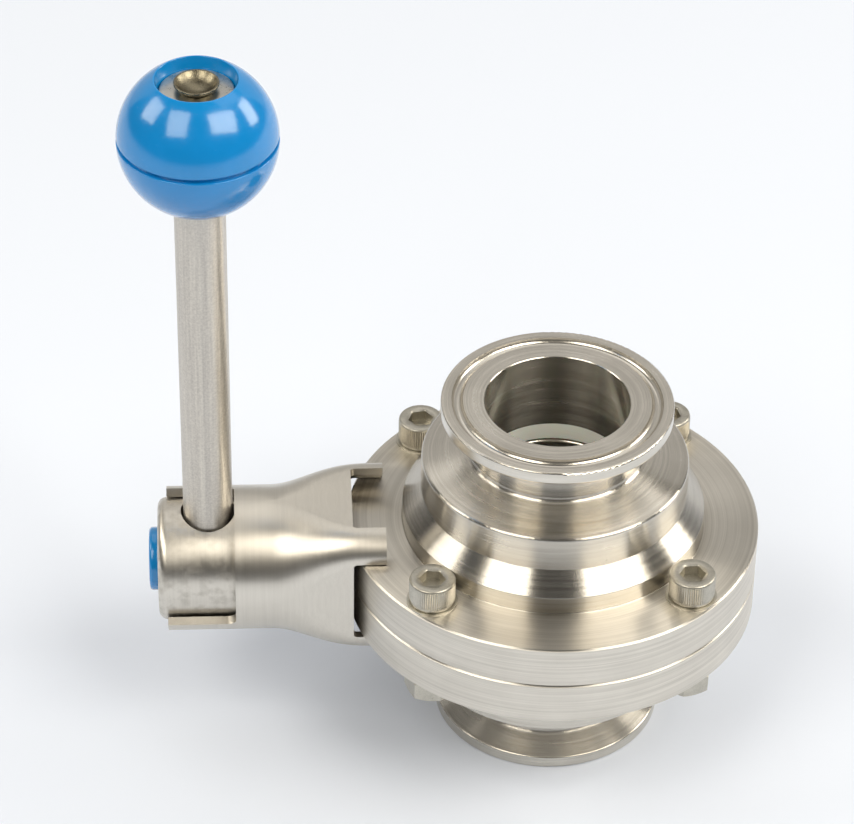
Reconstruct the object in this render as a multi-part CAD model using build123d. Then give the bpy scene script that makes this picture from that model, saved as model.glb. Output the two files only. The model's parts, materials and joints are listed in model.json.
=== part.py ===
from build123d import *

import os
from math import cos, radians, sin

# Clamp-ended ball valve in a two-piece flanged body, turned by a rod handle with a ball knob.
# Lengths are in millimetres and angles in degrees.
# The origin is the valve centre, where the bore axis meets the stem axis.  +Z runs along
# the bore, and the stem and handle lie along -X.  Parts that sit on the stem are first made
# about +Z, with their height as the distance from the valve centre, and on_stem lays them over.

# ---- body: a turned outline, the same above and below the split at height 0
BORE_R = 15.8
FERRULE_R = 25.25
FACE_Z = 42.0
FERRULE_RIM = 2.85
FERRULE_TAPER = 2.26
NECK_R = 19.05
NECK_FOOT_Z = 29.6
DRUM_R = 29.2
DRUM_TOP_Z = 27.07
DRUM_FOOT_Z = 18.94
BASE_R = 33.2
BASE_TOP_Z = 14.34
FLANGE_R = 45.3
FLANGE_T = 10.1
EDGE_BREAK = 0.35
MOUTH_BREAK = 0.15
NECK_FILLET = 1.2
DRUM_ROUND = 0.8
BASE_FOOT_ROUND = 0.3
BASE_TOP_ROUND = 0.25
RIM_FILLET = 0.45
FACE_GROOVE_R = 21.65
FACE_GROOVE_DEPTH = 1.25

# ---- ball, seats and seals inside the body
BALL_R = 25.0
BALL_MOUTH_Z = 19.374
BALL_MOUTH_ROUND = 0.5
CAVITY_R = 25.6
SEAT_SPHERE_R = 25.06
POCKET_R = 22.6
POCKET_Z = 23.5
SEAT_R = 22.5
SEAT_FOOT_Z = 11.1
SEAT_RING_R = 19.5
SEAT_RING_MINOR = 0.85
GASKET_IN_R = 28.0
GASKET_OUT_R = 31.0
GASKET_HALF = 1.0
GASKET_GAP_R = 9.5

# ---- fasteners on the bolt circle, with one socket and one nut turn for each corner
BOLT_CIRCLE_R = 39.5
BOLT_ANGLES = (45, 135, 225, 315)
SOCKET_TURNS = (12, 40, 24, 30)
NUT_TURNS = (5, 35, 50, 20)
BOLT_HOLE_R = 3.3
BOLT_R = 2.98
NUT_BORE_R = 3.0
BOLT_HEAD_R = 5.0
BOLT_HEAD_H = 5.9
BOLT_WASHER_R = 5.5
BOLT_WASHER_T = 0.4
BOLT_END_Z = -16.5
HEX_SOCKET_AF = 5.0
HEX_SOCKET_DEPTH = 2.5
HEX_MOUTH_R = 3.0
HEX_MOUTH_DEPTH = 0.45
NUT_AF = 10.0
NUT_CORNER_R = 5.8
NUT_FACE_R = 4.9
NUT_CHAMFER = 0.5
NUT_H = 4.8
NUT_SPOT_R = 6.4
NUT_SPOT_DEPTH = 0.4

# ---- stem and its seals, given as distances from the valve centre
STEM_R = 5.0
STEM_BORE_R = 5.05
BLADE_END = 20.9
BLADE_HALF_T = 3.3
BLADE_HALF_W = 7.0
SLOT_END = 20.5
SLOT_HALF_T = 3.5
COLLAR_R = 7.9
COLLAR_START = 25.9
COLLAR_END = 28.4
THRUST_START = 28.45
PORT_COLLAR_R = 8.1
PORT_STEP = 29.4
PORT_R = 7.05
BUSH_R = 7.0
BUSH_END = 45.4
STEM_RING_PLACES = (33.0, 38.5)
STEM_RING_R = 4.28
STEM_RING_MINOR = 0.75
STEM_GROOVE_R = 3.5
STEM_GROOVE_HALF = 0.95
SPACER_R = 7.0
SPACER_BORE_R = 5.3
PLATE_START = 60.5
PLATE_END = 62.5
STEM_SHOULDER = 64.0
SQUARE_HALF = 4.0
STEM_END = 79.5
STEM_TAP_DEPTH = 12.0
STEM_TAP_R = 3.0

# ---- sleeve round the stem: a round tube that opens into a clawed square end
SLEEVE_T = 1.9
TUBE_R = 15.9
TUBE_CORNER_R = 15.85
CLAW_HALF = 16.1
CLAW_CORNER_R = 6.0
CLAW_TIP = 37.2
BLEND_END = 39.0
BLEND_START = 62.0
TUBE_LEAD = 63.0
SLEEVE_END = 85.0
BLEND_STEPS = 8
SLOT_HALF_W = 10.3
SLOT_ROOT = 44.35
SLOT_CORNER_R = 0.8
WINDOW_START = 70.1
WINDOW_TURN = -118.5
WINDOW_SWEEP = 142.0
WINDOW_CORNER_R = 2.0
WINDOW_CUT_R = 10.0
PLATE_R = 13.95

# ---- hub, rod and knob
HUB_R = 13.5
HUB_END = 87.0
HUB_ROUND = 1.9
HUB_FLOOR = 80.2
HUB_CUP_R = 6.9
HUB_SQUARE_HALF = 4.03
HUB_STEM_R = 5.03
HUB_SOCKET_R = 6.0
HUB_SOCKET_Z = 8.0
WASHER_T = 1.0
WASHER_R = 6.6
SCREW_R = 2.98
SCREW_HEAD_R = 4.9
SCREW_HEAD_H = 2.6
SCREW_SOCKET_AF = 4.0
SCREW_SOCKET_DEPTH = 1.3
SCREW_END = 70.0
CAP_R = 7.0
CAP_SKIRT_R = 6.85
CAP_SKIRT_IN_R = 5.6
CAP_START = 83.2
CAP_CEILING = 87.2
CAP_END = 89.0
CAP_ROUND = 0.8
SHIM_GAP = 0.06
SHIM_R = 9.0
SHIM_IN_R = 6.0
ROD_R = 5.4
ROD_PLACE = 75.85
ROD_TOP_Z = 103.0
SPIGOT_R = 3.95
SPIGOT_HOLE_R = 4.0
SPIGOT_END_Z = 4.6
ROD_TAP_R = 3.42
ROD_TAP_END_Z = 92.0
KNOB_R = 16.75
KNOB_Z = 111.3
KNOB_SPLIT_Z = 111.65
KNOB_GAP_HALF = 0.5
KNOB_GAP_DEPTH = 0.9
KNOB_ROD_HOLE_R = 5.45
KNOB_BOLT_HOLE_R = 3.5
RECESS_R = 8.55
RECESS_FLOOR_R = 7.8
RECESS_FLOOR_Z = 122.0
RECESS_LIP_Z = 127.05
KNOB_PLATE_R = 7.7
KNOB_PLATE_TOP_Z = 123.1
KNOB_BOLT_R = 3.4
CUP_RIM_R = 4.7
CUP_RIM_Z = 124.9
CUP_MOUTH_R = 4.35
CUP_FLOOR_Z = 122.6
CUP_STEP_Z = 124.4

TOL = 0.01
FAR = 60.0
STANDING = (Align.CENTER, Align.CENTER, Align.MIN)


# ---- helpers
def turned(points):
    """Solid made by turning a closed outline of (radius, height) points about Z."""
    outline = Polyline(*[(radius, 0, height) for radius, height in points], close=True)
    return revolve(make_face(outline), Axis.Z)


def disc(radius, bottom, top):
    """Cylinder about Z between two heights."""
    return Pos(0, 0, bottom) * Cylinder(radius, top - bottom, align=STANDING)


def ring(inner, outer, bottom, top):
    """Ring about Z between two radii and two heights."""
    return disc(outer, bottom, top) - disc(inner, bottom, top)


def torus(radius, minor, height):
    """O-ring about Z at a height."""
    return Pos(0, 0, height) * Torus(radius, minor)


def hexagon(across_flats, bottom, top, turn=0):
    """Six-sided prism about Z between two heights."""
    outline = RegularPolygon(across_flats / 2, 6, major_radius=False)
    return Pos(0, 0, bottom) * Rot(0, 0, turn) * extrude(outline, top - bottom)


def block(half_x, half_y, bottom, top):
    """Box about Z between two heights."""
    return Pos(0, 0, bottom) * Box(2 * half_x, 2 * half_y, top - bottom, align=STANDING)


def ring_edges(shape, radius, height):
    """Round edges of a turned shape at one radius and height."""
    return [
        edge
        for edge in shape.edges().filter_by(GeomType.CIRCLE)
        if abs(edge.radius - radius) < TOL and abs(edge.arc_center.Z - height) < TOL
    ]


def on_stem(shape):
    """Lay a shape that was made about +Z along the stem, towards -X."""
    return Rot(0, -90, 0) * shape


def at_bolts(shapes):
    """A group of four shapes made about Z, one at each corner of the bolt circle."""
    places = []
    for angle, shape in zip(BOLT_ANGLES, shapes):
        x = BOLT_CIRCLE_R * cos(radians(angle))
        y = BOLT_CIRCLE_R * sin(radians(angle))
        places.append(Pos(x, y, 0) * shape)
    return Compound(children=places)


# ---- body
def stem_port():
    """Stepped hole for the stem, bush and collar, cut half from each body piece."""
    return on_stem(disc(PORT_COLLAR_R, 0, PORT_STEP) + disc(PORT_R, 0, FAR))


def body_half():
    """Upper body: ferrule, neck, drum, base and flange, hollowed for a seat and the ball."""
    rim_z = FACE_Z - FERRULE_RIM
    outer = turned(
        [
            (0, 0),
            (FLANGE_R - EDGE_BREAK, 0),
            (FLANGE_R, EDGE_BREAK),
            (FLANGE_R, FLANGE_T - EDGE_BREAK),
            (FLANGE_R - EDGE_BREAK, FLANGE_T),
            (BASE_R, FLANGE_T),
            (BASE_R, BASE_TOP_Z),
            (DRUM_R, DRUM_FOOT_Z),
            (DRUM_R, DRUM_TOP_Z),
            (NECK_R, NECK_FOOT_Z),
            (NECK_R, rim_z - FERRULE_TAPER),
            (FERRULE_R, rim_z),
            (FERRULE_R, FACE_Z),
            (0, FACE_Z),
        ]
    )
    outer = fillet(ring_edges(outer, NECK_R, NECK_FOOT_Z), NECK_FILLET)
    outer = fillet(ring_edges(outer, NECK_R, rim_z - FERRULE_TAPER), NECK_FILLET)
    outer = fillet(ring_edges(outer, FERRULE_R, rim_z), RIM_FILLET)
    outer = fillet(ring_edges(outer, FERRULE_R, FACE_Z), RIM_FILLET)
    outer = fillet(ring_edges(outer, DRUM_R, DRUM_TOP_Z), DRUM_ROUND)
    outer = fillet(ring_edges(outer, BASE_R, BASE_TOP_Z), BASE_TOP_ROUND)
    outer = fillet(ring_edges(outer, BASE_R, FLANGE_T), BASE_FOOT_ROUND)
    half = outer - disc(BORE_R, 0, FACE_Z) - disc(POCKET_R, 0, POCKET_Z) - Sphere(CAVITY_R)
    half = chamfer(ring_edges(half, BORE_R, FACE_Z), MOUTH_BREAK)
    half -= torus(FACE_GROOVE_R, FACE_GROOVE_DEPTH, FACE_Z)
    half -= ring(GASKET_IN_R, GASKET_OUT_R, 0, GASKET_HALF)
    half -= at_bolts([disc(BOLT_HOLE_R, 0, FLANGE_T) for _ in BOLT_ANGLES])
    return half - stem_port()


def lower_body():
    """The other half, mirrored, with a shallow seat for each nut."""
    seat_bottom = -FLANGE_T
    seat_top = seat_bottom + NUT_SPOT_DEPTH
    seats = at_bolts([disc(NUT_SPOT_R, seat_bottom, seat_top) for _ in BOLT_ANGLES])
    return mirror(body_half(), Plane.XY) - seats


def body_gasket():
    """Ring that seals the split, with a gap where the stem passes."""
    whole = ring(GASKET_IN_R, GASKET_OUT_R, -GASKET_HALF, GASKET_HALF)
    return whole - on_stem(disc(GASKET_GAP_R, 0, FAR))


def seat():
    """Upper seat: a ring with a spherical underside and a groove for its back-up O-ring."""
    body = ring(BORE_R, SEAT_R, SEAT_FOOT_Z, POCKET_Z) - Sphere(SEAT_SPHERE_R)
    groove_in = SEAT_RING_R - SEAT_RING_MINOR
    groove_out = SEAT_RING_R + SEAT_RING_MINOR
    return body - ring(groove_in, groove_out, POCKET_Z - 2 * SEAT_RING_MINOR, POCKET_Z)


def seat_o_ring():
    return torus(SEAT_RING_R, SEAT_RING_MINOR, POCKET_Z - SEAT_RING_MINOR)


def ball():
    """Bored ball with rounded mouths and a slot across its side for the stem's blade."""
    bored = Sphere(BALL_R) - disc(BORE_R, -FAR, FAR)
    mouths = ring_edges(bored, BORE_R, BALL_MOUTH_Z) + ring_edges(bored, BORE_R, -BALL_MOUTH_Z)
    slot = on_stem(block(SLOT_HALF_T, FAR, SLOT_END, FAR))
    return fillet(mouths, BALL_MOUTH_ROUND) - slot


# ---- fasteners
def bolt(turn):
    """Socket head screw from its end below the nut to its head above the washer."""
    seat_z = FLANGE_T + BOLT_WASHER_T
    top = seat_z + BOLT_HEAD_H
    head = disc(BOLT_HEAD_R, seat_z, top)
    head = fillet(ring_edges(head, BOLT_HEAD_R, top), EDGE_BREAK)
    head = chamfer(ring_edges(head, BOLT_HEAD_R, seat_z), EDGE_BREAK)
    shank = chamfer(disc(BOLT_R, BOLT_END_Z, seat_z).edges().sort_by(Axis.Z)[0], EDGE_BREAK)
    mouth_floor = top - HEX_MOUTH_DEPTH
    mouth = turned([(0, mouth_floor), (HEX_SOCKET_AF / 2, mouth_floor), (HEX_MOUTH_R, top), (0, top)])
    socket = hexagon(HEX_SOCKET_AF, top - HEX_SOCKET_DEPTH, top, turn)
    return head + shank - socket - mouth


def bolt_washer():
    return ring(BOLT_HOLE_R, BOLT_WASHER_R, FLANGE_T, FLANGE_T + BOLT_WASHER_T)


def nut(turn):
    """Hexagon nut with its corners turned down on both faces."""
    top = -FLANGE_T + NUT_SPOT_DEPTH
    bottom = top - NUT_H
    turned_blank = turned(
        [
            (0, bottom),
            (NUT_FACE_R, bottom),
            (NUT_CORNER_R, bottom + NUT_CHAMFER),
            (NUT_CORNER_R, top - NUT_CHAMFER),
            (NUT_FACE_R, top),
            (0, top),
        ]
    )
    return (hexagon(NUT_AF, bottom, top, turn) & turned_blank) - disc(NUT_BORE_R, bottom, top)


# ---- stem and what surrounds it
def stem():
    """Stem with its blade, collar, two seal grooves, squared outer end and tapped hole."""
    blade = block(BLADE_HALF_T, BLADE_HALF_W, BLADE_END, COLLAR_START)
    shaft = disc(STEM_R, COLLAR_END, STEM_SHOULDER)
    for place in STEM_RING_PLACES:
        shaft -= ring(STEM_GROOVE_R, STEM_R, place - STEM_GROOVE_HALF, place + STEM_GROOVE_HALF)
    square = block(SQUARE_HALF, SQUARE_HALF, STEM_SHOULDER, STEM_END) & disc(STEM_R, 0, STEM_END)
    whole = blade + disc(COLLAR_R, COLLAR_START, COLLAR_END) + shaft + square
    return on_stem(whole - disc(STEM_TAP_R, STEM_END - STEM_TAP_DEPTH, STEM_END))


def stem_o_rings():
    rings = [on_stem(torus(STEM_RING_R, STEM_RING_MINOR, place)) for place in STEM_RING_PLACES]
    return Compound(children=rings)


def sleeve_section(height, round_share, inset):
    """Rounded square across the sleeve, from square end (share 0) to round end (share 1)."""
    half = CLAW_HALF + (TUBE_R - CLAW_HALF) * round_share - inset
    corner = CLAW_CORNER_R + (TUBE_CORNER_R - CLAW_CORNER_R) * round_share - inset
    return Pos(0, 0, height) * RectangleRounded(2 * half, 2 * half, corner)


def sleeve_core(inset):
    """Round tube that opens, quickly at first and then slowly, to the square claw tips."""
    sections = [sleeve_section(TUBE_LEAD, 1, inset)]
    for step in range(BLEND_STEPS + 1):
        part = step / BLEND_STEPS
        height = BLEND_START + (BLEND_END - BLEND_START) * part
        round_share = (1 - part) ** 3 * (1 + 3 * part)
        sections.append(sleeve_section(height, round_share, inset))
    sections.append(sleeve_section(CLAW_TIP, 0, inset))
    tube = extrude(sleeve_section(TUBE_LEAD, 1, inset), SLEEVE_END - TUBE_LEAD)
    return loft(sections) + tube


def slot_cutter(half_x, half_y):
    """Cutter for two opposite claw slots, rounded at the slot root."""
    cutter = block(half_x, half_y, 0, SLOT_ROOT)
    root = cutter.edges().filter_by(lambda edge: abs(edge.center().Z - SLOT_ROOT) < TOL)
    along = Axis.X if half_x > half_y else Axis.Y
    return fillet(root.filter_by(along), SLOT_CORNER_R)


def window_cutter():
    """Cutter for the handle's window: a ring sector, rounded at its inner corners."""
    sector = Polyline(
        (WINDOW_CUT_R, 0, WINDOW_START),
        (FAR, 0, WINDOW_START),
        (FAR, 0, FAR + SLEEVE_END),
        (WINDOW_CUT_R, 0, FAR + SLEEVE_END),
        close=True,
    )
    cutter = revolve(make_face(sector), Axis.Z, revolution_arc=WINDOW_SWEEP)
    corners = [
        edge
        for edge in cutter.edges().filter_by(GeomType.LINE)
        if abs(edge.center().Z - WINDOW_START) < TOL
    ]
    return Rot(0, 0, WINDOW_TURN) * fillet(corners, WINDOW_CORNER_R)


def handle_sleeve():
    """Thin sleeve with four claws that hold the flange rim and a window for the rod."""
    shell = sleeve_core(0) - sleeve_core(SLEEVE_T)
    shell -= slot_cutter(FAR, SLOT_HALF_W)
    shell -= slot_cutter(SLOT_HALF_W, FAR)
    return on_stem(shell - window_cutter())


# ---- hub, rod and knob
def handle_hub():
    """Hub with a square hole for the stem, a socket for the rod and a cup for the screw."""
    blank = disc(HUB_R, STEM_SHOULDER, HUB_END)
    blank = fillet(ring_edges(blank, HUB_R, HUB_END), HUB_ROUND)
    blank = chamfer(ring_edges(blank, HUB_R, STEM_SHOULDER), EDGE_BREAK)
    square = block(HUB_SQUARE_HALF, HUB_SQUARE_HALF, 0, HUB_FLOOR) & disc(HUB_STEM_R, 0, HUB_FLOOR)
    hub = on_stem(blank - square - disc(HUB_CUP_R, HUB_FLOOR, HUB_END))
    hub -= Pos(-ROD_PLACE, 0, 0) * disc(HUB_SOCKET_R, HUB_SOCKET_Z, HUB_R)
    return hub - Pos(-ROD_PLACE, 0, 0) * disc(SPIGOT_HOLE_R, 0, HUB_SOCKET_Z)


def hub_screw():
    """Low-head screw that holds the hub on the stem."""
    seat_z = HUB_FLOOR + WASHER_T
    top = seat_z + SCREW_HEAD_H
    head = fillet(ring_edges(disc(SCREW_HEAD_R, seat_z, top), SCREW_HEAD_R, top), EDGE_BREAK)
    head -= hexagon(SCREW_SOCKET_AF, top - SCREW_SOCKET_DEPTH, top)
    return on_stem(head + disc(SCREW_R, SCREW_END, seat_z))


def hub_cap():
    """Push-in cap with a hollow skirt and a rounded outer edge."""
    flange = disc(CAP_R, HUB_END, CAP_END)
    flange = fillet(ring_edges(flange, CAP_R, CAP_END), CAP_ROUND)
    whole = flange + disc(CAP_SKIRT_R, CAP_START, HUB_END)
    return on_stem(whole - disc(CAP_SKIRT_IN_R, CAP_START, CAP_CEILING))


def handle_rod():
    """Round rod with a threaded spigot below and a tapped hole in its top."""
    rod = chamfer(ring_edges(disc(ROD_R, HUB_SOCKET_Z, ROD_TOP_Z), ROD_R, HUB_SOCKET_Z), EDGE_BREAK)
    rod += disc(SPIGOT_R, SPIGOT_END_Z, HUB_SOCKET_Z)
    return rod - disc(ROD_TAP_R, ROD_TAP_END_Z, ROD_TOP_Z)


def knob_ball(bottom, top):
    """Slice of the knob's ball between two heights, less the groove round its split."""
    slab = Pos(0, 0, KNOB_Z) * Sphere(KNOB_R) & disc(FAR, bottom, top)
    groove = ring(KNOB_R - KNOB_GAP_DEPTH, FAR, KNOB_SPLIT_Z - KNOB_GAP_HALF, KNOB_SPLIT_Z + KNOB_GAP_HALF)
    return slab - groove - disc(KNOB_BOLT_HOLE_R, bottom, top)


def knob_lower():
    return knob_ball(KNOB_Z - KNOB_R, KNOB_SPLIT_Z) - disc(KNOB_ROD_HOLE_R, 0, ROD_TOP_Z)


def knob_upper():
    """Upper half with a slightly tapered recess for the plate and the bolt's cup."""
    top = KNOB_Z + KNOB_R
    recess = turned(
        [
            (0, RECESS_FLOOR_Z),
            (RECESS_FLOOR_R, RECESS_FLOOR_Z),
            (RECESS_R, RECESS_LIP_Z),
            (RECESS_R, top),
            (0, top),
        ]
    )
    return knob_ball(KNOB_SPLIT_Z, top) - recess


def knob_bolt():
    """Hollow-headed bolt through both halves of the knob, with a flared cup for a head."""
    cup_side = turned(
        [
            (0, ROD_TAP_END_Z),
            (KNOB_BOLT_R, ROD_TAP_END_Z),
            (KNOB_BOLT_R, KNOB_PLATE_TOP_Z),
            (CUP_RIM_R, CUP_STEP_Z),
            (CUP_RIM_R, CUP_RIM_Z),
            (0, CUP_RIM_Z),
        ]
    )
    depth = CUP_RIM_Z - CUP_FLOOR_Z
    bowl_r = (CUP_MOUTH_R**2 + depth**2) / (2 * depth)
    bowl = Pos(0, 0, CUP_FLOOR_Z + bowl_r) * Sphere(bowl_r)
    return cup_side - bowl


def at_rod(shape):
    """Move a shape made about Z onto the rod's axis."""
    return Pos(-ROD_PLACE, 0, 0) * shape


PARTS = {
    "upper_body": body_half(),
    "lower_body": lower_body(),
    "body_gasket": body_gasket(),
    "upper_seat": seat(),
    "lower_seat": mirror(seat(), Plane.XY),
    "upper_seat_o_ring": seat_o_ring(),
    "lower_seat_o_ring": mirror(seat_o_ring(), Plane.XY),
    "ball": ball(),
    "body_screws": at_bolts([bolt(turn) for turn in SOCKET_TURNS]),
    "body_washers": at_bolts([bolt_washer() for _ in BOLT_ANGLES]),
    "body_nuts": at_bolts([nut(turn) for turn in NUT_TURNS]),
    "stem": stem(),
    "stem_o_rings": stem_o_rings(),
    "stem_thrust_washer": on_stem(ring(STEM_BORE_R, COLLAR_R, THRUST_START, PORT_STEP)),
    "stem_bush": on_stem(ring(STEM_BORE_R, BUSH_R, PORT_STEP, BUSH_END)),
    "stem_spacer": on_stem(ring(SPACER_BORE_R, SPACER_R, BUSH_END, PLATE_START)),
    "sleeve_plate": on_stem(ring(SPACER_BORE_R, PLATE_R, PLATE_START, PLATE_END)),
    "sleeve_shim": on_stem(ring(SHIM_IN_R, SHIM_R, PLATE_END, STEM_SHOULDER - SHIM_GAP)),
    "handle_sleeve": handle_sleeve(),
    "handle_hub": handle_hub(),
    "hub_washer": on_stem(ring(BOLT_HOLE_R, WASHER_R, HUB_FLOOR, HUB_FLOOR + WASHER_T)),
    "hub_screw": hub_screw(),
    "hub_cap": hub_cap(),
    "handle_rod": at_rod(handle_rod()),
    "knob_lower": at_rod(knob_lower()),
    "knob_upper": at_rod(knob_upper()),
    "knob_plate": at_rod(ring(KNOB_BOLT_HOLE_R, KNOB_PLATE_R, RECESS_FLOOR_Z, KNOB_PLATE_TOP_Z)),
    "knob_bolt": at_rod(knob_bolt()),
}

os.makedirs("parts", exist_ok=True)
for node, shape in PARTS.items():
    export_step(shape, f"parts/{node}.step")
    print(node, round(shape.volume, 1))
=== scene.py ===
# %% [markdown]
# # A clamp-ended ball valve, finished around its CAD frame
# The CAD pieces already have the right size and place.  This lesson gives them their metal,
# plastic and rubber, and remakes the ones whose small details the plain solids leave out:
# knurled screws, the two-part knob with its hollow bolt, and the cap.  Details are written in
# millimetres and multiplied by MM, because Blender works in metres.

import json
from math import acos, asin, cos, pi, radians, sin, sqrt

import bmesh
import bpy
from mathutils import Matrix, Vector


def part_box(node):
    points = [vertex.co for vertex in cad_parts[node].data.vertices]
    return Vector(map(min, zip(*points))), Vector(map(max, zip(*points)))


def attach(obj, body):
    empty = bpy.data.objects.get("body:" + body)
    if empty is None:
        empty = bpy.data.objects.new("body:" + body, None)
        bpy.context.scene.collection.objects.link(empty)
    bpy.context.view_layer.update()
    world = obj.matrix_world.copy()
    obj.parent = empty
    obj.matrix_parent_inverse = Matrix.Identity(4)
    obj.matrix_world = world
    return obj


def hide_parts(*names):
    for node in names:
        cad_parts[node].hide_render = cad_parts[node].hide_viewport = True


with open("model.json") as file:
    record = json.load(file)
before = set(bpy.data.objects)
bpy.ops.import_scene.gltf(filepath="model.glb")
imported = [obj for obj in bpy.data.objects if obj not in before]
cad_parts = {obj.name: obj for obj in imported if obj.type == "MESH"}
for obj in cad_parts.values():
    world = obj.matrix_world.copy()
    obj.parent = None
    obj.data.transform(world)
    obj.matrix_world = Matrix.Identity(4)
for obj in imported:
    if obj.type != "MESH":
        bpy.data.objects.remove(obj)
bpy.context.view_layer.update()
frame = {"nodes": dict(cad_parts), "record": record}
nodes = frame["nodes"]
MM = 0.001
MM_PER_M = 1000


# %% [markdown]
# ## Measures taken from the frame
# Nothing is placed by eye.  The rod's axis, the knob's split and the screws' seats are read from
# the boxes of the CAD nodes, so a change of the CAD moves the new pieces with it.

# %% Places and sizes from the CAD boxes
def span(node, axis):
    """Lowest and highest value of a node's box along one axis, in millimetres."""
    low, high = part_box(node)
    return low[axis] / MM, high[axis] / MM


rod_x = sum(span("handle_rod", 0)) / 2
rod_top = span("handle_rod", 2)[1]
floor_z = span("lower_body", 2)[0]
print(f"rod axis at x {rod_x:.2f}, rod top at {rod_top:.2f}, floor at {floor_z:.2f} mm")

# %% [markdown]
# ## Shader maths as Python
# A material is a graph of nodes, but a formula is easier to read than a graph.  Wire wraps an
# output socket and adds a Math node for each operator, so `rings * 0.3 + 0.5` builds two
# nodes.  Paint holds one material and has one method, node, for every other kind of node.


# %% Wire
class Wire:
    """An output socket that adds Math nodes when it is used in an expression."""

    def __init__(self, paint, socket):
        self.paint = paint
        self.socket = socket

    def maths(self, operation, left, right):
        return self.paint.node("ShaderNodeMath", {"operation": operation}, {0: left, 1: right})

    def __add__(self, other):
        return self.maths("ADD", self, other)

    def __radd__(self, other):
        return self.maths("ADD", other, self)

    def __sub__(self, other):
        return self.maths("SUBTRACT", self, other)

    def __rsub__(self, other):
        return self.maths("SUBTRACT", other, self)

    def __mul__(self, other):
        return self.maths("MULTIPLY", self, other)

    def __rmul__(self, other):
        return self.maths("MULTIPLY", other, self)

    def __truediv__(self, other):
        return self.maths("DIVIDE", self, other)

    def __rtruediv__(self, other):
        return self.maths("DIVIDE", other, self)

    def __pow__(self, other):
        return self.maths("POWER", self, other)

    def __rpow__(self, other):
        return self.maths("POWER", other, self)


# %% Paint
class Paint:
    """One material: a Principled shader and the nodes that feed it."""

    def __init__(self, name, **constants):
        self.material = bpy.data.materials.new(name)
        self.material.use_nodes = True
        self.tree = self.material.node_tree
        self.shader = self.tree.nodes["Principled BSDF"]
        for socket, value in constants.items():
            self.shader.inputs[socket.replace("_", " ")].default_value = value

    def node(self, kind, settings=None, sockets=None, output=0):
        """Add a node, set its settings first and its sockets after, and return an output."""
        made = self.tree.nodes.new(kind)
        for key, value in (settings or {}).items():
            setattr(made, key, value)
        for key, value in (sockets or {}).items():
            if isinstance(value, Wire):
                self.tree.links.new(value.socket, made.inputs[key])
            else:
                made.inputs[key].default_value = value
        return Wire(self, made.outputs[output])

    def feed(self, **sockets):
        """Link wires to the shader's own sockets."""
        for key, wire in sockets.items():
            self.tree.links.new(wire.socket, self.shader.inputs[key.replace("_", " ")])

    def place(self, centre=(0, 0, 0), turn=(0, 0, 0)):
        """Object coordinates in millimetres from a centre, turned to lay an axis along Z."""
        spot = self.node("ShaderNodeTexCoord", output="Object")
        sockets = {"Vector": spot, "Location": centre, "Rotation": turn, "Scale": (MM_PER_M,) * 3}
        return self.node("ShaderNodeMapping", {"vector_type": "POINT"}, sockets)

    def split(self, vector):
        """The three numbers of a vector."""
        first = self.node("ShaderNodeSeparateXYZ", {}, {0: vector})
        return [Wire(self, output) for output in first.socket.node.outputs]

    def join(self, x, y, z):
        return self.node("ShaderNodeCombineXYZ", {}, {"X": x, "Y": y, "Z": z})

    def noise(self, vector, scale, detail=2.0):
        """Cloudy pattern from 0 to 1, about 1 / scale millimetres from patch to patch."""
        return self.node("ShaderNodeTexNoise", {}, {"Vector": vector, "Scale": scale, "Detail": detail})

    def ramp(self, value, low, high):
        """0 below low, 1 above high and a straight climb between."""
        sockets = {"Value": value, "From Min": low, "From Max": high}
        return self.node("ShaderNodeMapRange", {"clamp": True}, sockets)

    def blend(self, share, first, second):
        """A colour between two colours, by a share from 0 to 1."""
        sockets = {"Factor": share, "A": first, "B": second}
        made = self.node("ShaderNodeMix", {"data_type": "RGBA"})
        node = made.socket.node
        for name, value in sockets.items():
            kind = "VALUE" if name == "Factor" else "RGBA"
            into = next(socket for socket in node.inputs if socket.name == name and socket.type == kind)
            if isinstance(value, Wire):
                self.tree.links.new(value.socket, into)
            else:
                into.default_value = value
        return Wire(self, next(socket for socket in node.outputs if socket.type == "RGBA"))

    def bump(self, height, depth):
        """Tilt the surface by a height pattern whose full range is depth millimetres."""
        self.feed(Normal=self.node("ShaderNodeBump", {}, {"Height": height, "Distance": depth * MM}))


# %% [markdown]
# ## Turned stainless steel
# A lathe tool leaves fine rings round the axis of everything it cuts: circles on a flat face,
# hoops on a cylinder.  So the pattern is noise read at (radius, height, side), stretched so that
# it changes fast with radius and height and slowly round the axis.  The finest grooves are
# too small for any bump.  They spread a highlight across themselves, and the shader's
# anisotropy does that: the bright and dark fans over the cones come from it.

# %% Colours and marks of steel
STEEL_DARK = (0.54, 0.510, 0.455, 1.0)
STEEL_LIGHT = (0.74, 0.705, 0.64, 1.0)
FINE_RINGS, FINE_SIDE = 5.0, 1.5
BROAD_RINGS, BROAD_SIDE = 1.3, 0.7
OFF_AXIS = 0.01  # keeps the division below from meeting zero on the axis
RING_HEIGHT = 0.0002
RINGS_ROUND_Z = 0.25
RINGS_ROUND_X = 0.0
ALONG_X = (0, radians(90), 0)


# %% Lathe marks
def lathe_marks(paint, spot):
    """Fine and broad rings round the Z axis of spot, with the radius and height they used."""
    x, y, height = paint.split(spot)
    radius = (x * x + y * y) ** 0.5
    side = x / (radius + OFF_AXIS)
    fine = paint.noise(paint.join(radius * FINE_RINGS, height * FINE_RINGS, side * FINE_SIDE), 1.0)
    broad = paint.noise(paint.join(radius * BROAD_RINGS, height * BROAD_RINGS, side * BROAD_SIDE), 1.0)
    return fine, broad, radius, height


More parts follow.
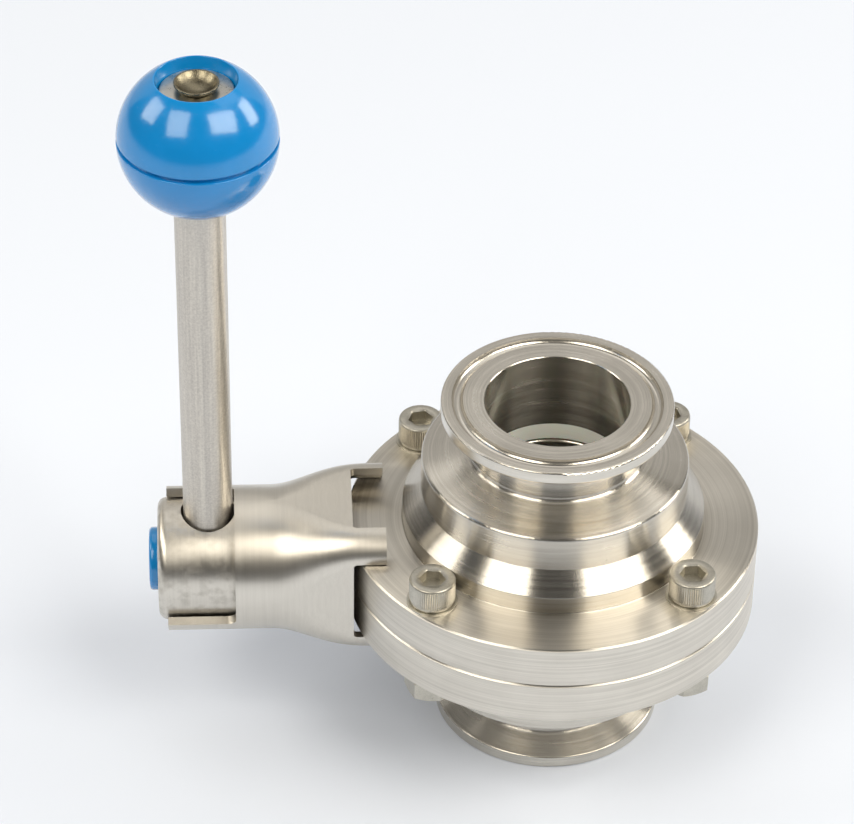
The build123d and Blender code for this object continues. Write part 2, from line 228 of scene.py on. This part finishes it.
def turned_metal(
    name, gloss, stretch, centre=(0, 0, 0), turn=(0, 0, 0), evenness=0.15, wear=0.10, rings=RINGS_ROUND_Z
):
    """Steel with rings round an axis; gloss is its roughness and stretch its anisotropy.

    The paint keeps its spot, radius, height, colour and rough, for what is added later.
    """
    paint = Paint(name, Metallic=1.0, Anisotropic=stretch, Anisotropic_Rotation=rings)
    paint.spot = paint.place(centre, turn)
    fine, broad, paint.radius, paint.height = lathe_marks(paint, paint.spot)
    cloud = paint.noise(paint.spot, 0.09, 4.0)
    shade = paint.ramp(fine * 0.35 + broad * 0.4 + cloud * 0.25, 0.5 - evenness, 0.5 + evenness)
    paint.colour = paint.blend(shade, STEEL_DARK, STEEL_LIGHT)
    paint.feed(Base_Color=paint.colour)
    paint.bump(fine * 0.6 + broad * 0.4, RING_HEIGHT / evenness)
    paint.rough = (broad - 0.5) * wear + (cloud - 0.5) * wear + gloss
    return paint


# %% [markdown]
# The body carries three surfaces.  The flange faces were cut with a coarse feed, and the cones and
# the bore with a fine one, which makes narrow, sharp fans.  The ferrule and the wide edge of
# the flange were tumbled afterwards: no grooves line up there, so a second shader without
# anisotropy covers them, and masks made from radius and height choose between the two.  Heights
# are measured up and down from the split, so the lower body gets the same masks.

# %% Body steel
FINE_CUT = 0.25
COARSE_CUT = 0.08
EDGE_WEAR = 0.09
BORE_R = 15.8
RIM_DEPTH = 3.1
MARGIN = 0.05
flange_r = span("upper_body", 0)[1]
flange_top = span("body_washers", 2)[0]
face_z = span("upper_body", 2)[1]


def body_steel():
    paint = turned_metal("body_steel", FINE_CUT, 0.97)
    level = paint.node("ShaderNodeMath", {"operation": "ABSOLUTE"}, {0: paint.height})
    flange_face = paint.ramp(level, flange_top + 2 * MARGIN, flange_top + MARGIN)
    rough = paint.rough + flange_face * COARSE_CUT
    paint.feed(Roughness=rough)
    edge = paint.ramp(paint.radius, flange_r - 4 * MARGIN, flange_r - MARGIN)
    grain = paint.noise(paint.spot, 4.0, 3.0)
    pebbled = rough + edge * EDGE_WEAR + (grain - 0.6) * 0.12
    tumbled = {"Base Color": paint.colour, "Roughness": pebbled, "Metallic": 1.0}
    second = paint.node("ShaderNodeBsdfPrincipled", {}, tumbled)
    first = Wire(paint, paint.shader.outputs["BSDF"])
    ferrule = paint.ramp(level, face_z - RIM_DEPTH, face_z - RIM_DEPTH + 6 * MARGIN)
    outside = paint.ramp(paint.radius, BORE_R + MARGIN, BORE_R + 3 * MARGIN)
    share = edge.maths("MAXIMUM", edge, ferrule * outside)
    both = paint.node("ShaderNodeMixShader", {}, {0: share, 1: first, 2: second})
    paint.tree.links.new(both.socket, paint.tree.nodes["Material Output"].inputs["Surface"])
    return paint.material


# %% [markdown]
# The sleeve is pressed sheet that was brushed while it spun on the stem's axis, so its hair
# lines run round X.  Mapping turns the pattern.  The shader itself always spreads highlights
# relative to rings round Z, so a fixed turn of that direction makes it right on the front of
# the sleeve and the hub, and nearly right above and below.

# %% Sleeve and hub steel
STAIN = (0.43, 0.405, 0.355, 1.0)


def sleeve_steel():
    paint = turned_metal(
        "sleeve_steel", 0.36, 0.6, turn=ALONG_X, evenness=0.5, wear=0.06, rings=RINGS_ROUND_X
    )
    paint.feed(Roughness=paint.rough)
    return paint.material


def hub_steel():
    """Turned like the sleeve, with the stains that hands and cleaning leave."""
    paint = turned_metal(
        "hub_steel", 0.36, 0.6, turn=ALONG_X, evenness=0.4, wear=0.08, rings=RINGS_ROUND_X
    )
    stain = paint.ramp(paint.noise(paint.spot, 0.45, 6.0), 0.46, 0.70)
    paint.feed(Base_Color=paint.blend(stain * 0.55, paint.colour, STAIN))
    paint.feed(Roughness=paint.rough + stain * 0.14)
    return paint.material


# %% Rod steel
ROD_DARK = (0.46, 0.43, 0.395, 1.0)


def rod_steel():
    """Centreless ground bar: very fine hoops and long faint scuffs up its length."""
    paint = turned_metal("rod_steel", 0.38, 0.75, (-rod_x, 0, 0), evenness=0.6, wear=0.05)
    x, y, z = paint.split(paint.spot)
    scuff = paint.noise(paint.join(x * 1.6, y * 1.6, z * 0.05), 1.0, 4.0)
    grain = paint.noise(paint.spot, 2.2, 4.0)
    shade = paint.ramp(scuff * 0.5 + grain * 0.5, 0.3, 0.7)
    paint.feed(Base_Color=paint.blend(shade, ROD_DARK, STEEL_LIGHT))
    paint.feed(Roughness=paint.rough + (scuff - 0.5) * 0.16 + (grain - 0.5) * 0.12)
    return paint.material


# %% [markdown]
# ## The other metals
# Screws, nuts and washers are cold formed and tumbled: no rings, a slightly pebbled skin and a
# greyer colour.  The ball and stem are polished until only a haze of fine lines is left.

# %% Formed and polished metal
FORMED_DARK = (0.44, 0.425, 0.385, 1.0)
FORMED_LIGHT = (0.66, 0.64, 0.59, 1.0)
YELLOWING = (1.0, 1.1, 1.4, 0.0)  # how strongly tarnish takes red, green, blue and alpha


def formed_metal(name, gloss, pebble, tarnish=1.0):
    """Cold-formed steel with a pebbled skin of a given depth, darkened by a share."""
    paint = Paint(name, Metallic=1.0)
    spot = paint.place()
    grain = paint.noise(spot, 3.5, 4.0)
    patch = paint.noise(spot, 0.5, 3.0)
    dark = [value * tarnish**power for value, power in zip(FORMED_DARK, YELLOWING)]
    light = [value * tarnish**power for value, power in zip(FORMED_LIGHT, YELLOWING)]
    paint.feed(Base_Color=paint.blend(paint.ramp(grain * 0.5 + patch * 0.5, 0.3, 0.7), dark, light))
    paint.feed(Roughness=(patch - 0.5) * 0.2 + (grain - 0.5) * 0.15 + gloss)
    paint.bump(grain, pebble)
    return paint.material


def polished_steel():
    paint = turned_metal("polished_steel", 0.26, 0.6, evenness=0.4, wear=0.05)
    paint.feed(Roughness=paint.rough)
    return paint.material


# %% [markdown]
# ## Plastic and rubber
# The knob is moulded in coloured plastic with a polished skin.  Real mouldings are never a
# perfect mirror: the skin is a little wavy and carries hair scratches, so roughness and bump
# get a slow wave and a fine one.  The seats are a white fluoropolymer, cut on a lathe and waxy.

# %% Knob plastic
BLUE_DEEP = (0.0010, 0.205, 0.530, 1.0)
BLUE_CLEAR = (0.0040, 0.245, 0.640, 1.0)


def knob_plastic():
    paint = Paint("knob_plastic", Coat_Weight=0.45, Coat_Roughness=0.11, IOR=1.53)
    spot = paint.place((-rod_x, 0, 0))
    wave = paint.noise(spot, 0.12, 2.0)
    x, y, z = paint.split(spot)
    scratch = paint.noise(paint.join(x * 0.7, y * 0.7 + z * 0.5, z * 5.0), 1.0, 5.0)
    paint.feed(Base_Color=paint.blend(wave, BLUE_DEEP, BLUE_CLEAR))
    paint.feed(Roughness=paint.ramp(scratch, 0.45, 0.8) * 0.14 + (wave - 0.5) * 0.08 + 0.16)
    paint.bump(wave * 0.9 + scratch * 0.1, 0.02)
    return paint.material


# %% Seat plastic and rubber
WHITE = (0.88, 0.90, 0.86, 1.0)
CREAM = (0.80, 0.81, 0.75, 1.0)
BLACK = (0.012, 0.012, 0.013, 1.0)
DUSTY = (0.035, 0.035, 0.036, 1.0)


def seat_plastic():
    paint = Paint("seat_plastic", IOR=1.35, Subsurface_Weight=0.25, Subsurface_Scale=0.002)
    fine, broad = lathe_marks(paint, paint.place())[:2]
    paint.feed(Base_Color=paint.blend(broad * 0.6 + fine * 0.4, WHITE, CREAM))
    paint.feed(Roughness=fine * 0.12 + 0.36)
    paint.bump(fine, 0.004)
    return paint.material


def seal_rubber():
    paint = Paint("seal_rubber", IOR=1.5)
    dust = paint.noise(paint.place(), 0.8, 5.0)
    paint.feed(Base_Color=paint.blend(dust, BLACK, DUSTY))
    paint.feed(Roughness=dust * 0.2 + 0.5)
    paint.bump(dust, 0.01)
    return paint.material


# %% [markdown]
# ## One finish for each material slot
# The record gives every CAD node a slot by name.  The finishes are built once, and each node
# that keeps its CAD shape takes the one its slot asks for.

# %% Give the CAD nodes their finishes
finishes = {
    "turned_steel": body_steel(),
    "sleeve_steel": sleeve_steel(),
    "hub_steel": hub_steel(),
    "rod_steel": rod_steel(),
    "polished_steel": polished_steel(),
    "fastener_steel": formed_metal("fastener_steel", 0.34, 0.012, 0.86),
    "plate_steel": formed_metal("plate_steel", 0.30, 0.004),
    "bolt_steel": formed_metal("bolt_steel", 0.27, 0.05, 0.42),
    "seat_plastic": seat_plastic(),
    "seal_rubber": seal_rubber(),
    "knob_plastic": knob_plastic(),
}
slots = {part["node"]: part["material_slot"] for part in frame["record"]["subparts"]}
for node, holder in nodes.items():
    holder.data.materials.clear()
    holder.data.materials.append(finishes[slots[node]])
print(len(finishes), "finishes on", len(nodes), "nodes")

# %% [markdown]
# ## A lathe in code
# Most small parts here were turned or moulded round, so one helper makes them all: draw half
# of the section as (radius, height) points, round chosen corners with a vertex bevel, and
# spin the outline a full turn.  Rounding the flat outline is far more reliable than
# bevelling the finished solid, and every highlight on an edge depends on it.

# %% Outline, spin and finish
SHARP_ANGLE = radians(34)
ROUND_STEPS = 4
ON_AXIS = 1e-9
WELD = 1e-7


def outline(points, rounds):
    """A bmesh wire through (radius, height) points, with corners rounded by {index: size}."""
    shape = bmesh.new()
    corners = [shape.verts.new((radius * MM, 0, height * MM)) for radius, height in points]
    shape.faces.new(corners)
    for index, size in rounds.items():
        bmesh.ops.bevel(
            shape, geom=[corners[index]], offset=size * MM, offset_type="OFFSET",
            affect="VERTICES", segments=ROUND_STEPS, profile=0.5, material=-1,
        )
    bmesh.ops.delete(shape, geom=shape.faces[:], context="FACES_ONLY")
    on_axis = [edge for edge in shape.edges if max(abs(vert.co.x) for vert in edge.verts) < ON_AXIS]
    bmesh.ops.delete(shape, geom=on_axis, context="EDGES")
    return shape


def lathe(points, rounds, steps=128):
    """A closed solid of revolution about Z."""
    shape = outline(points, rounds)
    wire = shape.verts[:] + shape.edges[:]
    bmesh.ops.spin(
        shape, geom=wire, cent=(0, 0, 0), axis=(0, 0, 1), angle=2 * pi, steps=steps, use_merge=True
    )
    bmesh.ops.remove_doubles(shape, verts=shape.verts, dist=WELD)
    return shape


def arc(radius, centre_height, start, end, steps):
    """Points on a circle about the axis, by angles above the horizontal in radians."""
    turns = [start + (end - start) * step / steps for step in range(steps + 1)]
    return [(radius * cos(turn), centre_height + radius * sin(turn)) for turn in turns]


def piece(name, shape, slot, body, replaces, matrix=None, finish=None):
    """Turn a bmesh into an object that rides on a body in place of CAD nodes.

    It gets its slot's finish, unless another finish is named.
    """
    if matrix:
        bmesh.ops.transform(shape, matrix=matrix, verts=shape.verts)
    bmesh.ops.recalc_face_normals(shape, faces=shape.faces)
    mesh = bpy.data.meshes.new(name)
    shape.to_mesh(mesh)
    shape.free()
    mesh.shade_smooth()
    mesh.set_sharp_from_angle(angle=SHARP_ANGLE)
    mesh.materials.append(finishes[finish or slot])
    made = bpy.data.objects.new(name, mesh)
    bpy.context.scene.collection.objects.link(made)
    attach(made, body)
    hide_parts(*replaces)
    print(name, len(mesh.polygons), "faces")


AT_ROD = Matrix.Translation((rod_x * MM, 0, 0))
ALONG_STEM = Matrix.Rotation(radians(-90), 4, "Y")

# %% [markdown]
# ## The knob
# Two moulded halves meet a little above the middle with a shadow groove between them.  The
# upper half has a recess for the plate.  The groove's lips and the recess's rim are rounded,
# because a mould can't make them sharp, and each lip catches a thin line of light.

# %% Knob sizes
knob_r = (span("knob_lower", 0)[1] - span("knob_lower", 0)[0]) / 2
knob_split = span("knob_lower", 2)[1]
ROD_HOLE_R = 5.45
BOLT_HOLE_R = 3.5
knob_z = span("knob_lower", 2)[0] + sqrt(knob_r**2 - ROD_HOLE_R**2)
GROOVE_HALF = 0.5
GROOVE_DEPTH = 0.9
LIP_ROUND = 0.22
RECESS_R = 8.55
RECESS_FLOOR_R = 7.8
RECESS_RIM_ROUND = 0.30
RECESS_FOOT_ROUND = 0.35
ROD_HOLE_ROUND = 0.25
recess_floor = span("knob_plate", 2)[0]
plate_top = span("knob_plate", 2)[1]
print(f"knob radius {knob_r:.2f}, centre at {knob_z:.2f}, split at {knob_split:.2f} mm")


# %% Knob halves
def knob_upper():
    inner = knob_r - GROOVE_DEPTH
    lip = knob_split + GROOVE_HALF
    ball = arc(knob_r, knob_z, asin((lip - knob_z) / knob_r), acos(RECESS_R / knob_r), 40)
    points = [(BOLT_HOLE_R, knob_split), (inner, knob_split), (inner, lip)] + ball
    points += [(RECESS_FLOOR_R, recess_floor), (BOLT_HOLE_R, recess_floor)]
    rim = len(points) - 3
    return lathe(points, {3: LIP_ROUND, rim: RECESS_RIM_ROUND, rim + 1: RECESS_FOOT_ROUND})


def knob_lower():
    inner = knob_r - GROOVE_DEPTH
    lip = knob_split - GROOVE_HALF
    ball = arc(knob_r, knob_z, asin((lip - knob_z) / knob_r), -acos(ROD_HOLE_R / knob_r), 48)
    points = [(BOLT_HOLE_R, knob_split), (inner, knob_split), (inner, lip)] + ball
    rim = len(points) - 1
    points += [(ROD_HOLE_R, rod_top), (BOLT_HOLE_R, rod_top)]
    return lathe(points, {3: LIP_ROUND, rim: ROD_HOLE_ROUND})


piece("knob_upper_half", knob_upper(), "knob_plastic", "handle", ["knob_upper"], AT_ROD)
piece("knob_lower_half", knob_lower(), "knob_plastic", "handle", ["knob_lower"], AT_ROD)

# %% [markdown]
# ## Plate and hollow bolt in the recess
# A pressed plate lies in the recess, and a bolt with a flared, hollow head clamps the halves to
# the rod.  The head is a thin rolled cup, so its rim is fully rounded and its inside a bowl.

# %% Plate and bolt
SHANK_R = 3.4
CUP_R = 4.7
CUP_STEP = 0.5
CUP_MOUTH_R = 4.3
CUP_DEPTH = 2.3


def knob_plate():
    plate_r = (span("knob_plate", 0)[1] - span("knob_plate", 0)[0]) / 2
    points = [(BOLT_HOLE_R, recess_floor), (plate_r, recess_floor)]
    points += [(plate_r, plate_top), (BOLT_HOLE_R, plate_top)]
    return lathe(points, {1: 0.15, 2: 0.35})


def knob_bolt():
    foot, rim = span("knob_bolt", 2)
    bowl_r = (CUP_MOUTH_R**2 + CUP_DEPTH**2) / (2 * CUP_DEPTH)
    bowl_z = rim - CUP_DEPTH + bowl_r
    bowl = arc(bowl_r, bowl_z, -acos(CUP_MOUTH_R / bowl_r), -pi / 2, 14)
    points = [(0, foot), (SHANK_R, foot), (SHANK_R, plate_top), (CUP_R, rim - CUP_STEP), (CUP_R, rim)]
    return lathe(points + bowl, {3: 0.2, 4: 0.18, 5: 0.15}, 96)


piece("knob_plate_disc", knob_plate(), "plate_steel", "handle", ["knob_plate"], AT_ROD)
piece("knob_hollow_bolt", knob_bolt(), "fastener_steel", "handle", ["knob_bolt"], AT_ROD, "bolt_steel")

# %% [markdown]
# ## Hub cap
# A push-in moulding: a hollow skirt that grips the hub's cup and a flange with a soft edge.  The
# small dimple in its face is where the plastic entered the mould.

# %% Cap
CAP_SKIRT_R = 6.85
CAP_SKIRT_IN_R = 5.6
CAP_ROOF = 1.8
GATE_R = 0.9
GATE_DEPTH = 0.25


def hub_cap():
    face, skirt = [-value for value in span("hub_cap", 0)]
    seat = -span("handle_hub", 0)[0]
    cap_r = span("hub_cap", 1)[1]
    points = [(0, face - CAP_ROOF), (CAP_SKIRT_IN_R, face - CAP_ROOF), (CAP_SKIRT_IN_R, skirt)]
    points += [(CAP_SKIRT_R, skirt), (CAP_SKIRT_R, seat), (cap_r, seat), (cap_r, face)]
    points += [(GATE_R, face), (GATE_R, face - GATE_DEPTH), (0, face - GATE_DEPTH)]
    return lathe(points, {3: 0.3, 5: 0.1, 6: 0.8, 7: 0.12}, 96)


piece("hub_cap_moulding", hub_cap(), "knob_plastic", "handle", ["hub_cap"], ALONG_STEM)

# %% [markdown]
# ## Socket head screws
# The head's knurl is real geometry: rings of points with every other one pulled in, joined
# into teeth.  The hexagon socket starts as a hexagon with its sides divided into as many points as
# the rings have, so it bridges to the round mouth without a stray face.  Below the nut the
# thread is a triangular ridge, spun as a helix round the core.

# %% Screw sizes
TEETH = 60
HEAD_R = 5.0
HEAD_H = 5.9
KNURL_DEPTH = 0.24
KNURL_ENDS = (0.9, 5.15)
SOCKET_AF = 5.0
SOCKET_LEVELS = (0.28, 2.5)  # below the head's top: the mouth's chamfer and the floor
CORE_R = 2.5
CREST_R = 2.96
POINT_R = 2.1
POINT_H = 0.4
PITCH = 1.0
THREAD_TURNS = 4
THREAD_STEPS = 28
RUN_OUT = 0.6  # turns that the ridge leaves off before the plain shank
RIDGE_SINK = 0.05
RIDGE_CREST_Z = 0.44
RIDGE_TOP_Z = 0.88
screw_end, head_top = span("body_screws", 2)
head_seat = head_top - HEAD_H
bolt_circle = (span("body_screws", 0)[1] - HEAD_R) * sqrt(2)
SOCKET_TURNS = {45: 12, 135: 40, 225: 24, 315: 30}
print(f"bolt circle radius {bolt_circle:.2f}, heads from {head_seat:.2f} to {head_top:.2f} mm")


# %% Rings and bridges
def circle(shape, radius, height, knurl=0.0):
    """One ring of edges; with a knurl, every other point is pulled in."""
    at_height = Matrix.Translation((0, 0, height * MM))
    made = bmesh.ops.create_circle(shape, segments=2 * TEETH, radius=radius * MM, matrix=at_height)
    if knurl:
        inward = Matrix.Diagonal((1 - knurl / radius, 1 - knurl / radius, 1, 1))
        bmesh.ops.transform(shape, matrix=inward, verts=made["verts"][::2])
    return list({edge for vert in made["verts"] for edge in vert.link_edges})


def hexagon(shape, across_flats, height, turn):
    """A ring of edges in the shape of a hexagon, with as many points as a circle."""
    size = across_flats / 2 / cos(radians(30)) * MM
    place = Matrix.Translation((0, 0, height * MM)) @ Matrix.Rotation(radians(turn), 4, "Z")
    made = bmesh.ops.create_circle(shape, segments=6, radius=size, matrix=place)
    sides = list({edge for vert in made["verts"] for edge in vert.link_edges})
    cut = bmesh.ops.subdivide_edges(shape, edges=sides, cuts=2 * TEETH // 6 - 1)
    return [item for item in cut["geom"] if isinstance(item, bmesh.types.BMEdge)]


def skin(shape, loops):
    """Join neighbouring rings with faces."""
    for lower, upper in zip(loops, loops[1:]):
        bmesh.ops.bridge_loops(shape, edges=lower + upper)


# %% Head, shank and thread
def screw_head(shape, turn):
    plain = [(CREST_R, 0), (4.72, 0), (4.92, 0.2), (4.92, 0.7)]
    crown = [(4.93, 5.42), (4.85, 5.66), (4.68, 5.82), (4.45, HEAD_H), (3.24, HEAD_H), (3.06, 5.84)]
    loops = [circle(shape, radius, head_seat + height) for radius, height in plain]
    loops += [circle(shape, HEAD_R, head_seat + height, KNURL_DEPTH) for height in KNURL_ENDS]
    loops += [circle(shape, radius, head_seat + height) for radius, height in crown]
    loops += [hexagon(shape, SOCKET_AF, head_top - depth, turn) for depth in SOCKET_LEVELS]
    skin(shape, loops)
    bmesh.ops.contextual_create(shape, geom=loops[-1])
    return loops[0]


def screw_shank(shape, top_loop):
    thread_top = screw_end + THREAD_TURNS * PITCH
    sizes = [(CREST_R, thread_top + PITCH), (CORE_R, thread_top + PITCH / 2)]
    sizes += [(CORE_R, screw_end + POINT_H), (POINT_R, screw_end)]
    loops = [top_loop] + [circle(shape, radius, height) for radius, height in sizes]
    skin(shape, loops)
    bmesh.ops.contextual_create(shape, geom=loops[-1])


def thread(shape):
    """A helical ridge from the screw's end up to the plain shank."""
    foot = CORE_R - RIDGE_SINK
    section = [(foot, 0.0), (CREST_R, RIDGE_CREST_Z), (foot, RIDGE_TOP_Z)]
    corners = [shape.verts.new((radius * MM, 0, (screw_end + rise) * MM)) for radius, rise in section]
    start = shape.faces.new(corners)
    turns = THREAD_TURNS - RUN_OUT
    steps = THREAD_STEPS * THREAD_TURNS
    bmesh.ops.spin(
        shape, geom=[start], cent=(0, 0, 0), axis=(0, 0, 1), angle=2 * pi * turns,
        steps=steps, dvec=(0, 0, PITCH * MM * turns / steps),
    )


def screws():
    whole = bmesh.new()
    for angle, turn in SOCKET_TURNS.items():
        one = bmesh.new()
        screw_shank(one, screw_head(one, turn))
        thread(one)
        bmesh.ops.recalc_face_normals(one, faces=one.faces)
        x, y = bolt_circle * cos(radians(angle)), bolt_circle * sin(radians(angle))
        bmesh.ops.translate(one, verts=one.verts, vec=(x * MM, y * MM, 0))
        step = bpy.data.meshes.new("screw")
        one.to_mesh(step)
        one.free()
        whole.from_mesh(step)
        bpy.data.meshes.remove(step)
    return whole


piece("knurled_socket_screws", screws(), "fastener_steel", "valve_body", ["body_screws"])

# %% [markdown]
# ## Floor, lights and camera
# The object stands on its lower ferrule on a pale sheet.  Polished metal shows what is round
# it, so the studio is built for its reflections: four softboxes, two in front and two at the
# sides, with a dark gap between the front pair where the camera stands.  A dim wall behind
# and a dim ceiling fill the shadows.  The boxes are a little warm and the sheet a little cool,
# which is why metal that sees the boxes is golden and metal that sees the floor is not.


# %% Floor
PAPER = (0.725, 0.780, 0.890, 1.0)
PAPER_REACH = 6.0


def floor():
    shape = bmesh.new()
    bmesh.ops.create_grid(shape, x_segments=1, y_segments=1, size=PAPER_REACH)
    bmesh.ops.translate(shape, verts=shape.verts, vec=(0, 0, floor_z * MM))
    mesh = bpy.data.meshes.new("studio_floor")
    shape.to_mesh(mesh)
    shape.free()
    sheet = bpy.data.objects.new("studio_floor", mesh)
    bpy.context.scene.collection.objects.link(sheet)
    mesh.materials.append(Paint("paper", Base_Color=PAPER, Roughness=0.9).material)


floor()
print(f"floor {2 * PAPER_REACH:.0f} m wide at {floor_z:.2f} mm")

# %% Softboxes
WARM = (1.0, 0.94, 0.83)
PALE = (1.0, 0.97, 0.92)
NEAR = 1.6
FAR = 2.6
AREA_FACTOR = 4  # watts for a square metre of radiance 1
WORLD_STRENGTH = 0.08


def softbox(name, towards, distance, width, height, lean, radiance, colour):
    """A rectangular light that faces the object, leans to one side and has a given radiance."""
    lamp = bpy.data.lights.new(name, "AREA")
    lamp.shape = "RECTANGLE"
    lamp.size = width * distance
    lamp.size_y = height * distance
    lamp.energy = AREA_FACTOR * lamp.size * lamp.size_y * radiance
    lamp.color = colour
    holder = bpy.data.objects.new(name, lamp)
    bpy.context.scene.collection.objects.link(holder)
    way = Vector(towards).normalized()
    level = Vector((0, 0, 1)).cross(way).normalized()
    facing = Matrix((level, way.cross(level), way)).transposed().to_4x4()
    turned = facing @ Matrix.Rotation(radians(lean), 4, "Z")
    holder.matrix_world = Matrix.Translation(way * distance) @ turned
    holder.visible_camera = False


# Width and height are for a distance of one metre.
softbox("left box", (-0.81, 0.11, 0.57), NEAR, 0.42, 0.42, 25, 4.0, WARM)
softbox("front left box", (-0.46, -0.48, 0.75), NEAR, 0.48, 0.58, 20, 3.7, WARM)
softbox("front right box", (0.53, -0.41, 0.74), NEAR, 0.68, 0.50, -25, 5.0, WARM)
softbox("right box", (0.86, 0.22, 0.46), NEAR, 0.34, 0.48, -25, 5.2, WARM)
softbox("back wall", (0.0, 1.0, 0.40), FAR, 2.4, 0.95, 0, 0.37, PALE)
softbox("ceiling", (0.18, 0.42, 1.0), FAR, 1.4, 0.68, 0, 0.80, PALE)

world = bpy.data.worlds.new("studio")
bpy.context.scene.world = world
world.use_nodes = True
world.node_tree.nodes["Background"].inputs["Color"].default_value = (*PALE, 1.0)
world.node_tree.nodes["Background"].inputs["Strength"].default_value = WORLD_STRENGTH
print(len(bpy.data.lights), "lights")

# %% Camera
EYE = (-0.0651, -0.6614, 0.5526)
PITCH_DOWN = radians(37.756)
YAW = radians(-3.198)
ROLL = radians(0.962)
FOCAL_LENGTH = 163.83
SENSOR = 36.0
NEAREST = 0.01
lens = bpy.data.cameras.new("camera")
lens.lens = FOCAL_LENGTH
lens.sensor_width = SENSOR
lens.clip_start = NEAREST
eye = bpy.data.objects.new("camera", lens)
bpy.context.scene.collection.objects.link(eye)
heading = Matrix.Rotation(YAW, 4, "Z")
tilt = Matrix.Rotation(pi / 2 - PITCH_DOWN, 4, "X")
eye.matrix_world = Matrix.Translation(EYE) @ heading @ tilt @ Matrix.Rotation(ROLL, 4, "Z")
bpy.context.scene.camera = eye
bpy.context.scene.view_settings.view_transform = "Standard"
print(f"camera {Vector(EYE).length:.2f} m from the frame's origin, {FOCAL_LENGTH:.0f} mm lens")
